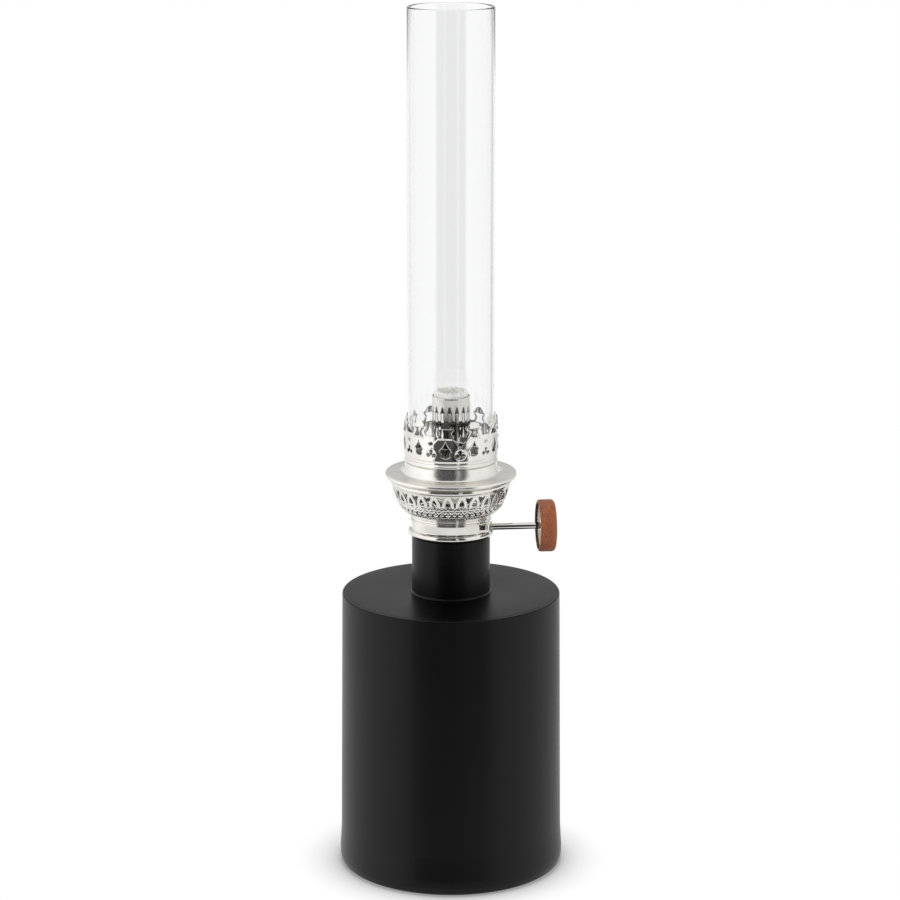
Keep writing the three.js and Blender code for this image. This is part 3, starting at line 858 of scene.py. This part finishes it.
# Knob: a plated cup on the spindle, wrapped in a leather cover that folds a little way into the cup's mouth.
on_spindle("knob_core", [
    (1.3, KNOB_X + 0.7), (2.6, KNOB_X + 0.7, 0.2), (2.8, KNOB_X + 1.0, 0.2), (2.8, KNOB_X + 4.6, 0.4),
    (9.0, KNOB_X + 4.6, 0.6), (9.1, KNOB_X + 0.15, 0.1), (9.6, KNOB_X + 0.05, 0.1), (9.6, KNOB_X + 5.4, 0.5),
    (1.3, KNOB_X + 5.4),
], NICKEL, ["knob_cup"], segs=128)


def slack(theta, points):
    """Hand-wrapped leather isn't quite true."""
    outer = points[:, 0] > 9.8
    points[outer, 0] += 0.035 * math.sin(3 * theta + 0.6) + 0.02 * math.sin(7 * theta)
    points[outer, 1] += 0.03 * math.sin(2 * theta + 1.1)
    return points


on_spindle("knob_cover", [
    (9.62, KNOB_X + 0.4), (9.64, KNOB_X - 0.18, 0.1), (10.25, KNOB_X - 0.15, 0.3), (10.55, KNOB_X + 0.25, 0.35),
    (10.66, KNOB_X + 1.4, 0.8), (10.66, KNOB_X + 5.3, 0.8), (10.35, KNOB_X + 6.1, 0.5),
    (9.7, KNOB_X + 6.5, 0.7), (3.0, KNOB_X + 6.52), (0, KNOB_X + 6.52), (0, KNOB_X + 5.6), (9.0, KNOB_X + 5.6),
    (9.64, KNOB_X + 5.3, 0.3),
], LEATHER, ["knob_leather"], segs=160, shape=slack, sharp=60)
on_spindle("knob_cover_edge", [
    (9.55, KNOB_X - 0.1), (9.62, KNOB_X - 0.22, 0.08), (9.95, KNOB_X - 0.24, 0.1), (10.1, KNOB_X - 0.1, 0.1),
    (9.9, KNOB_X + 0.05), (9.6, KNOB_X + 0.05),
], LEATHER_EDGE, segs=128, shape=slack)
# Its dark colour is painted shade inside the cup's mouth.
on_spindle("knob_cover_fold", [
    (9.02, KNOB_X + 0.05, 0.08), (9.1, KNOB_X - 0.15, 0.12), (9.55, KNOB_X - 0.15, 0.1), (9.55, KNOB_X + 0.03),
    (9.08, KNOB_X + 0.12), (9.06, KNOB_X + 0.75, 0.05), (8.86, KNOB_X + 0.78, 0.1), (8.88, KNOB_X + 0.3, 0.1),
], LEATHER_TURNED_IN_SHADED, segs=128)
# A pale sheet over the cup's inner wall; its cream colour paints the nickel wall's bright reflection.
on_spindle("knob_wall_painted_reflection", [
    (9.09, KNOB_X + 0.7), (9.09, KNOB_X + 4.55), (8.94, KNOB_X + 4.55), (8.94, KNOB_X + 0.7, 0.05),
], CUP_WALL_PAINTED_REFLECTION, segs=128)

# ---------------------------------------------------------------- wick
WICK_RIBS = 22
WICK_SHOULDER = 196.6


def wick_rim(theta, points):
    """The top is cut level and its warp cords stand as ribs, with a scalloped edge."""
    rib = 0.5 + 0.5 * math.cos(WICK_RIBS * theta)
    lift = np.clip((points[:, 1] - WICK_SHOULDER) / 1.2, 0, 1)
    points[:, 1] += lift * (0.45 * rib - 0.25 + 0.08 * math.sin(5 * theta + 1))
    outside = points[:, 0] > 6.2
    points[outside, 0] += 0.16 * rib - 0.12
    points[~outside, 0] += (0.10 + 0.35 * lift[~outside]) * (1 - rib) - 0.08
    return points


turned("wick_ring", [
    (5.3, 161.2), *[(5.3, 165 + 4 * k) for k in range(8)], (5.2, 196.6), (5.35, 197.8, 0.3),
    (5.75, 198.45, 0.4), (6.1, 198.5, 0.3), (6.5, 198.4, 0.4), (6.8, 197.8, 0.3), (6.85, 196.6), (6.95, 195.8),
    *[(6.95, 193 - 4 * k) for k in range(8)], (6.95, 161.2),
], COTTON, "wick_body", segs=264, shape=wick_rim, sharp=60)


def wick_lower():
    steps = 64
    verts, faces = [], []
    levels = np.linspace(161.4, 88.0, 25)
    opening = math.asin(3.2 / 6.95)
    angles = np.linspace(math.pi / 2 + opening, math.pi * 2.5 - opening, steps + 1)
    for z in levels:
        for r in (6.95, 5.25):
            for a in angles:
                verts.append((r * math.cos(a), r * math.sin(a), z))
    width = steps + 1
    for row in range(len(levels) - 1):
        base, below = row * 2 * width, (row + 1) * 2 * width
        for k in range(steps):
            faces.append((base + k, base + k + 1, below + k + 1, below + k))
            faces.append((base + width + k + 1, base + width + k, below + width + k, below + width + k + 1))
        for k, flip in ((0, False), (steps, True)):
            quad = (base + k, below + k, below + width + k, base + width + k)
            faces.append(quad if flip else quad[::-1])
    for row, flip in ((0, True), (len(levels) - 1, False)):
        base = row * 2 * width
        for k in range(steps):
            quad = (base + k, base + k + 1, base + width + k + 1, base + width + k)
            faces.append(quad if flip else quad[::-1])
    mesh = bpy.data.meshes.new("wick_sleeve")
    mesh.from_pydata((np.array(verts) * MM).tolist(), [], faces)
    layer = mesh.uv_layers.new(name="lay")
    for loop in mesh.loops:
        co = mesh.vertices[loop.vertex_index].co
        layer.data[loop.index].uv = (math.atan2(co.y, co.x) * 6.1, co.z * 1000)
    return finish_piece("wick_sleeve", mesh, COTTON, "wick_body", sharp=60)


wick_lower()


def wick_tail():
    """The tail hangs flat in the reservoir, with a little wave in its width."""
    columns, rows = 60, 50
    verts, faces = [], []
    xs, zs = np.linspace(-19, 19, columns + 1), np.linspace(12, 95, rows + 1)
    for side in (-0.86, 0.86):
        for z in zs:
            for x in xs:
                wave = 0.0 if z > 88 else 0.05 * math.sin(x * 0.5) * (88 - z) / 76
                verts.append((x, -6.08 + side + wave, z))
    width, size = columns + 1, (columns + 1) * (rows + 1)
    for j in range(rows):
        for i in range(columns):
            a = j * width + i
            faces.append((a, a + 1, a + 1 + width, a + width))
            faces.append((size + a + 1, size + a, size + a + width, size + a + 1 + width))
    ring = list(range(0, columns)) + [j * width + columns for j in range(rows)]
    ring += [rows * width + i for i in range(columns, 0, -1)] + [j * width for j in range(rows, 0, -1)]
    for k in range(len(ring)):
        a, b = ring[k], ring[(k + 1) % len(ring)]
        faces.append((b, a, a + size, b + size))
    mesh = bpy.data.meshes.new("wick_tail")
    mesh.from_pydata((np.array(verts) * MM).tolist(), [], faces)
    layer = mesh.uv_layers.new(name="lay")
    for loop in mesh.loops:
        co = mesh.vertices[loop.vertex_index].co
        layer.data[loop.index].uv = (co.x * 1000, co.z * 1000)
    return finish_piece("wick_tail", mesh, COTTON, "wick_body", ["wick"], sharp=60)


wick_tail()

# ---------------------------------------------------------------- gallery
turned("gallery_flange", [
    (17.7, 169.1), (17.75, 167.0), (18.2, 165.0, 0.8), (19.2, 163.7, 1.2), (20.5, 163.3), (25.6, 163.2, 0.3),
    (26.1, 162.8, 0.25), (26.55, 162.75, 0.25), (26.9, 163.4, 0.35), (26.85, 164.1, 0.3), (26.4, 164.45, 0.3),
    (25.9, 164.3, 0.3), (21.6, 164.3, 1.0), (19.9, 164.7, 1.6), (19.0, 166.4, 2.5), (18.7, 168.2, 0.5),
    (18.55, 169.1),
], NICKEL_SATIN, "gallery", ["gallery_plate"], segs=192, sharp=40)

turned("gallery_bead", [
    (17.75, 169.2), (18.6, 169.2, 0.1), (18.85, 169.5, 0.15), (19.25, 169.9, 0.3), (19.3, 170.5, 0.3),
    (18.95, 170.95, 0.15), (18.8, 171.15, 0.1), (18.95, 171.5, 0.15), (18.9, 172.0), (18.35, 172.0),
    (18.2, 170.6), (17.75, 169.8),
], NICKEL, "gallery", segs=192, sharp=40)

# Crown: ten arches stand on a pierced band. Heights along it are measured from its foot.
CROWN_FOOT = 171.7
CROWN_MEAN_R = 19.1
CROWN_SHEET = 0.42
BAND_TOP = 183.0
CROWN = rounded([
    (19.12, CROWN_FOOT), (19.12, 174.5, 9.0), (19.22, 178.5, 9.0), (19.2, 182.0, 8.0), (18.7, 189.0),
], False)
crown_place, crown_along, _ = profile_places(CROWN)
CROWN_ARC = 2 * math.pi * CROWN_MEAN_R / CROWN_N
CROWN_TURN = math.radians(-12.4)


def mirrored(half):
    """A closed outline from its right half, listed from bottom to top."""
    return half + [(-point[0], *point[1:]) for point in reversed(half)]


def crown_shapes(u, v):
    """Distances to the shapes of one repeat, and the height w. side is measured from the edge of the repeat."""
    w = v + CROWN_FOOT
    side = CROWN_ARC / 2 - np.abs(u)
    spade = sd_polygon(u, w, smooth_outline(mirrored([
        (0.6, 174.65), (1.35, 174.9), (1.75, 175.8), (1.45, 176.7), (2.2, 177.5, 1), (1.0, 178.9), (0.4, 180.1),
        (0.0, 181.2, 1),
    ]), 2))
    opening = sd_polygon(u, w, smooth_outline(mirrored([
        (2.7, 182.5, 1), (1.75, 183.9), (1.6, 184.9), (2.2, 185.5), (3.05, 186.2, 1), (1.4, 186.15),
    ]), 2))
    arch = sd_polygon(u, w, smooth_outline(mirrored([
        (4.6, 181.0), (3.5, 183.2), (2.75, 184.0), (2.5, 184.7), (3.0, 185.3), (3.75, 186.1, 1), (3.3, 186.9),
        (2.45, 186.8, 1), (2.3, 187.7), (1.5, 188.3, 1), (1.0, 188.75), (0.35, 188.55), (0.1, 188.95, 1),
    ]), 2))
    trefoil = np.minimum(sd_circle(side, w, 0, 176.95, 0.75), sd_circle(side, w, 1.25, 175.35, 0.85))
    trefoil = np.minimum(trefoil, sd_circle(side, w, 0, 175.9, 0.6))
    eyelet = np.hypot(side / 1.3, w - 180.1) - 0.7
    return spade, opening, arch, trefoil, eyelet, w


def crown_pattern(u, v):
    spade, opening, arch, trefoil, eyelet, w = crown_shapes(u, v)
    metal = np.minimum(w - BAND_TOP, arch)
    holes = np.minimum(np.minimum(spade, opening), np.minimum(trefoil, eyelet))
    return np.maximum(metal, -holes)


def crown_relief(u, v, depth):
    spade, opening, _, _, eyelet, w = crown_shapes(u, v)
    side = CROWN_ARC / 2 - np.abs(u)
    pillow = 0.05 * (1 - np.exp(-np.clip(depth, 0, None) / 0.25))
    ridge = 0.07 * bell(spade, 0.28, 0.16) + 0.06 * bell(opening, 0.28, 0.16)
    medallion = np.hypot(side, w - 175.9)
    ridge += 0.08 * bell(medallion, 2.25, 0.25) + 0.02 * bell(eyelet, 0.3, 0.15)
    across = (np.abs(u) - 1.6 + w - 181.6) / math.sqrt(2)
    along = (np.abs(u) - 1.6 - w + 181.6) / math.sqrt(2)
    leaf = 0.10 * np.clip((across + 1.1) / 2.2, 0, 1) * np.exp(-(np.clip(across - 1.1, 0, None) / 0.3) ** 2)
    leaf *= np.clip((along + 0.8) / 0.8, 0, 1) * np.clip((5.2 - along) / 0.8, 0, 1)
    drop = 0.10 * np.exp(-(np.hypot(side / 0.8, w - 178.4) / 0.5) ** 2)
    sill = 0.16 * bell(w, 182.3, 0.22) * np.clip((2.9 - np.abs(u)) / 0.5, 0, 1)
    lower = 0.06 * bell(w, 173.0, 0.2)
    fade = np.clip((w - 172.0) / 0.6, 0, 1)
    cap = 0.26 * np.clip((w - 185.9) / 0.4, 0, 1) - 0.60 * np.clip((w - 186.3) / 2.5, 0, 1)
    cap *= np.clip((2.6 - np.abs(u)) / 0.6, 0, 1)
    return (pillow + ridge + leaf + drop + sill + lower + cap) * fade


pierced("gallery_crown_sheet", CROWN_N, CROWN_ARC, (0.0, float(crown_along[-1])), crown_pattern, crown_place,
        crown_relief, CROWN_SHEET, NICKEL_PRESSED, "gallery", ["gallery_crown"], CROWN_TURN)

turned("chimney_ledge", [
    (14.2, 170.4), (17.9, 170.4, 0.2), (17.9, 171.0), (14.85, 171.0, 0.2), (14.8, 173.5, 0.2),
    (14.2, 173.5, 0.2),
], NICKEL_SATIN, "gallery", ["chimney_seat"], segs=128)

# ---------------------------------------------------------------- chimney
turned("chimney_tube", [
    (16.2, 171.3, 0.4), (17.5, 171.3, 0.4), (17.5, 200.0), (17.5, 260.0), (17.5, 320.0), (17.5, 352.9, 0.55),
    (16.2, 352.9, 0.55), (16.2, 320.0), (16.2, 260.0), (16.2, 200.0),
], GLASS, "chimney", ["glass_chimney"], segs=192, sharp=80)

# The chute keeps its CAD mesh.
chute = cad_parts["air_chute"]
chute.data.materials.clear()
chute.data.materials.append(NICKEL_SATIN)

bpy.context.scene.view_settings.view_transform = "Standard"
bpy.context.scene.view_settings.look = "None"
